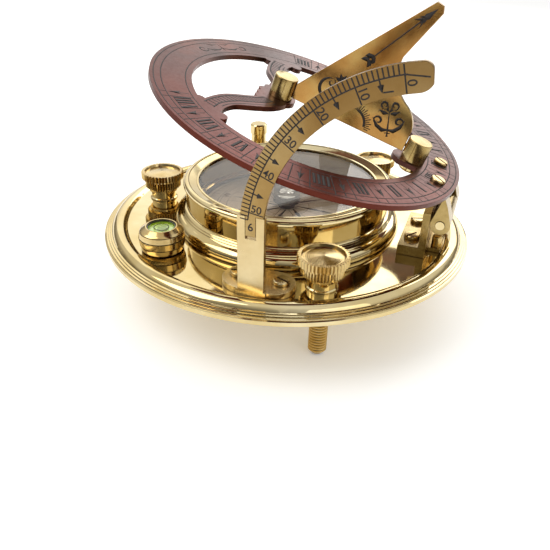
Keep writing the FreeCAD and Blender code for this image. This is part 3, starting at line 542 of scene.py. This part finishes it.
# arrow head with its barbs, then the fletching
bladeStrokes += [[(20.6, 37.9, 1.0), (21.6, 39.5, 6.5), (23.4, 42.5, 0.2)]]
for side in (-1, 1):
    for along, long in ((21.0, 1.9), (21.6, 1.5), (22.2, 1.0)):
        foot = (along, 23.4 + (along - 11.9) * 1.663)
        bladeStrokes.append([foot + (4.0,), (foot[0] - 0.75 * long + side * 0.62 * long,
                                            foot[1] - 0.95 * long - side * 0.38 * long, 0.3)])
    for along in (12.0, 11.2):
        foot = (along, 23.4 + (along - 11.9) * 1.663)
        bladeStrokes.append([foot + (5.0,), (foot[0] - 0.5 + side * 1.0, foot[1] - 0.7 - side * 0.6, 5.0),
                             (foot[0] - 1.2 + side * 1.3, foot[1] - 1.4 - side * 0.8, 0.3)])


def ornament(strokes, x, y, scale, turn):
    return [turnStroke([(p[0] * scale, p[1] * scale) + tuple(p[2:]) for p in stroke], x, y, turn)
            for stroke in strokes]


# two scrolls in a C with a leaf bud
backbone = [(x, y, 0.8 + 3.4 * math.sin(math.pi * i / 14))
            for i, (x, y) in enumerate(arcOf((0, 0), 3.0, 75, 285, 14))]
scroll = [backbone,
          curl(0.5, 1.75, 1.25, 75, -400, thick=2.0), curl(0.5, -1.75, 1.25, 285, 400, thick=2.0)]
for turn in (10, 55, 100, 150):
    scroll.append(turnStroke([(0.2, 0, 1.0), (1.1, 0, 4.4), (2.3, 0, 0.3)], 3.4, 2.2, turn))
bladeStrokes += ornament(scroll, 3.2, 9.4, 1.1, ringTilt)
# a flower of inward curls on a stem above an anchor of two more
anchor = [[(0, 2.6, 1.0), (0, -0.6, 1.4), (0, -3.2, 2.4), (0, -4.6, 1.6), (0, -5.4, 3.0)],
          [(-0.9, -4.3, 1.2), (0.9, -4.3, 1.2)]]
for flip in (1, -1):
    for stroke in (
            curl(1.5, 4.2, 1.35, 250, 440, thick=2.6),
            [(0.3, 1.7, 1.0), (1.6, 1.8, 5.2), (3.2, 2.6, 1.2), (3.4, 1.9, 0.3)],
            [(0.2, 2.2, 0.8), (0.7, 2.9, 3.2), (0.5, 4.2, 0.4)],
            [(0, -3.3, 2.0), (1.7, -3.5, 5.2), (3.6, -2.2, 4.4), (4.9, 0.2, 0.6)],
            curl(3.2, -0.6, 1.5, 320, 420, thick=2.6)):
        anchor.append([(flip * p[0], p[1]) + tuple(p[2:]) for p in stroke])
bladeStrokes += ornament(anchor, 24.0, 8.6, 1.02, ringTilt)
# half sun
sun = {"centre": (13.2, 2.6), "radius": 4.6, "rays": 14, "rayStep": 6.6}
bladeStrokes += [[(x, y, 3.0) for x, y in arcOf(sun["centre"], sun["radius"], 5, 80, 12)]]
bladeStrokes += [arcOf(sun["centre"], sun["radius"], 80, 150, 10)]
for i in range(sun["rays"]):
    a = -2 + i * sun["rayStep"]
    bladeStrokes.append([arcOf(sun["centre"], r, a, a, 1)[0] + (1.2,) for r in (4.8, 6.3 + 0.6 * (i % 2))])
bladeFront = ringFace @ Matrix.Translation((0, -0.8 * mm, 0)) @ standUp
bladeBack = ringFace @ Matrix.Translation((0, 0.8 * mm, 0)) @ Matrix.Rotation(math.pi, 4, "Z") @ standUp
engraved("gnomon_engraving_front", bladeStrokes, 0.26, bladeFront, "gnomon", blackEnamel)
mirrored = [[(-p[0],) + tuple(p[1:]) for p in stroke] for stroke in bladeStrokes]
engraved("gnomon_engraving_back", mirrored, 0.26,
         bladeBack, "gnomon", blackEnamel)
print("gnomon engraved")

# compass card printing
card = {"top": 6.7, "rose": 20.5, "ring": 24.0, "degrees": 28.2}
cardFace = Matrix.Translation((0, 0, card["top"] * mm))
cardLines = [circleStroke(r) for r in (21.4, card["ring"], 25.0, card["degrees"])]
cardLines += [arcOf((0, 0), 8.0, 0, 360, 60)]
for i in range(72):
    a = math.radians(i * 5)
    cardLines.append([(r * math.cos(a), r * math.sin(a)) for r in (26.9 if i % 2 else 26.2, card["degrees"])])
for i in range(16):
    a = math.radians(i * 22.5 + 11.25)
    cardLines.append([(r * math.cos(a), r * math.sin(a)) for r in (8.0, 21.4)])
engraved("card_lines", cardLines, 0.16, cardFace, "card", brownInk, 0.015)
points = []
for i in range(8):
    long = card["rose"] if i % 2 == 0 else 15.0
    points.append(turnStroke([(3.4, 0.9, 2.0), (long * 0.5, 0.55, 7.0), (long, 0, 0.2)], 0, 0, i * 45))
    points.append(turnStroke([(3.4, -0.9, 1.0), (long * 0.5, -1.2, 1.0), (long, 0, 0.2)], 0, 0, i * 45))
engraved("card_rose", points, 0.2, cardFace, "card", blackEnamel, 0.015)
letters = []
for text, a in (("N", 90), ("E", 0), ("S", -90), ("W", 180)):
    x, y = arcOf((0, 0), 22.0, a, a, 1)[0]
    letters.append((text, 3.6, spotAt(x, y, a - 90)))
lettered("card_letters", letters, cardFace, "card", brownInk, 0.015)
print("card printed")

# level bubble and mark
levelLow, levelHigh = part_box("level_lens")
levelAt = (levelLow + levelHigh) / 2
bubble = bmesh.new()
bmesh.ops.create_uvsphere(bubble, u_segments=32, v_segments=16, radius=1.7 * mm)
bubbleAt = Matrix.Translation((levelAt.x + 0.6 * mm, levelAt.y - 0.3 * mm, 10.45 * mm))
bubble.transform(bubbleAt @ Matrix.Diagonal((1, 1, 0.12, 1)))
softShade(finishMesh("level_bubble", bubble, "base", bubbleAir), 60)
levelFace = Matrix.Translation((levelAt.x, levelAt.y, levelHigh.z))
engraved("level_mark", [circleStroke(2.3)], 0.3, levelFace, "base",
         blackEnamel, 0.02)

# studio
floorLevel = cadBox[0][2]
floor = bmesh.new()
bmesh.ops.create_grid(floor, x_segments=2, y_segments=2, size=6.0)
floor.transform(Matrix.Translation((0, 0, floorLevel)))
floorMesh = bpy.data.meshes.new("studio_floor")
floor.to_mesh(floorMesh)
floor.free()
studioFloor = bpy.data.objects.new("studio_floor", floorMesh)
bpy.context.scene.collection.objects.link(studioFloor)
paperWhite, tree, shader, place = newFinish("matt white paper")
shader.inputs["Base Color"].default_value = toLinear("#FCFCFB")
shader.inputs["Roughness"].default_value = 0.9
shader.inputs["Emission Color"].default_value = toLinear("#FFFFFF")
shader.inputs["Emission Strength"].default_value = 0.22
floorMesh.materials.append(paperWhite)

world = bpy.data.worlds.new("studio")
bpy.context.scene.world = world
world.use_nodes = True
sky = world.node_tree
sky.nodes.clear()
direction = addNode(sky, "ShaderNodeTexCoord").outputs["Generated"]
axes = addNode(sky, "ShaderNodeSeparateXYZ", {"Vector": direction})
height = rampColours(sky, axes.outputs["Z"], [
    (0.0, "#BDB9B2"), (0.12, "#857F76"), (0.28, "#C4C0B8"), (0.42, "#F6F4F0"), (0.6, "#FFFFFF")])
room = addNode(sky, "ShaderNodeMapRange", {"Value": axes.outputs["Y"], "From Min": -0.95, "From Max": -0.35,
                                           "To Min": 0.22, "To Max": 1.0})
lit = addNode(sky, "ShaderNodeMixRGB", {"Fac": 1.0, "Color1": height, "Color2": room.outputs["Result"]},
              blend_type="MULTIPLY")
glow = addNode(sky, "ShaderNodeBackground", {"Color": lit.outputs["Color"], "Strength": 0.86})
addNode(sky, "ShaderNodeOutputWorld", {"Surface": glow.outputs["Background"]})

lamps = {
    "key": {"at": (-0.35, -0.25, 0.55), "size": 0.45, "power": 1.7},
    "fill": {"at": (0.5, -0.35, 0.35), "size": 0.35, "power": 0.35},
    "back": {"at": (0.1, 0.6, 0.4), "size": 0.5, "power": 1.6},
    "side": {"at": (-0.45, 0.62, 0.34), "size": 0.6, "power": 0.75},
}
for name, setting in lamps.items():
    lamp = bpy.data.lights.new(name, "AREA")
    lamp.size = setting["size"]
    lamp.energy = setting["power"]
    holder = bpy.data.objects.new(name, lamp)
    holder.location = setting["at"]
    holder.rotation_euler = (Vector((0, 0, 0.03)) - Vector(setting["at"])).to_track_quat("-Z", "Y").to_euler()
    bpy.context.scene.collection.objects.link(holder)

shot = {"from": (62.95, -187.41, 98.70), "towards": (-0.28589, 0.80456, -0.52054), "roll": 1.56, "lens": 39.7}
camera = bpy.data.objects.new("camera", bpy.data.cameras.new("camera"))
camera.data.sensor_width = 36
camera.data.lens = shot["lens"]
camera.data.clip_start = 0.01
turn = Vector(shot["towards"]).to_track_quat("-Z", "Y").to_matrix().to_4x4()
camera.matrix_world = (Matrix.Translation([v * mm for v in shot["from"]]) @ turn
                       @ Matrix.Rotation(math.radians(shot["roll"]), 4, "Z"))
bpy.context.scene.collection.objects.link(camera)
bpy.context.scene.camera = camera
bpy.context.scene.view_settings.view_transform = "Standard"
print("studio set")
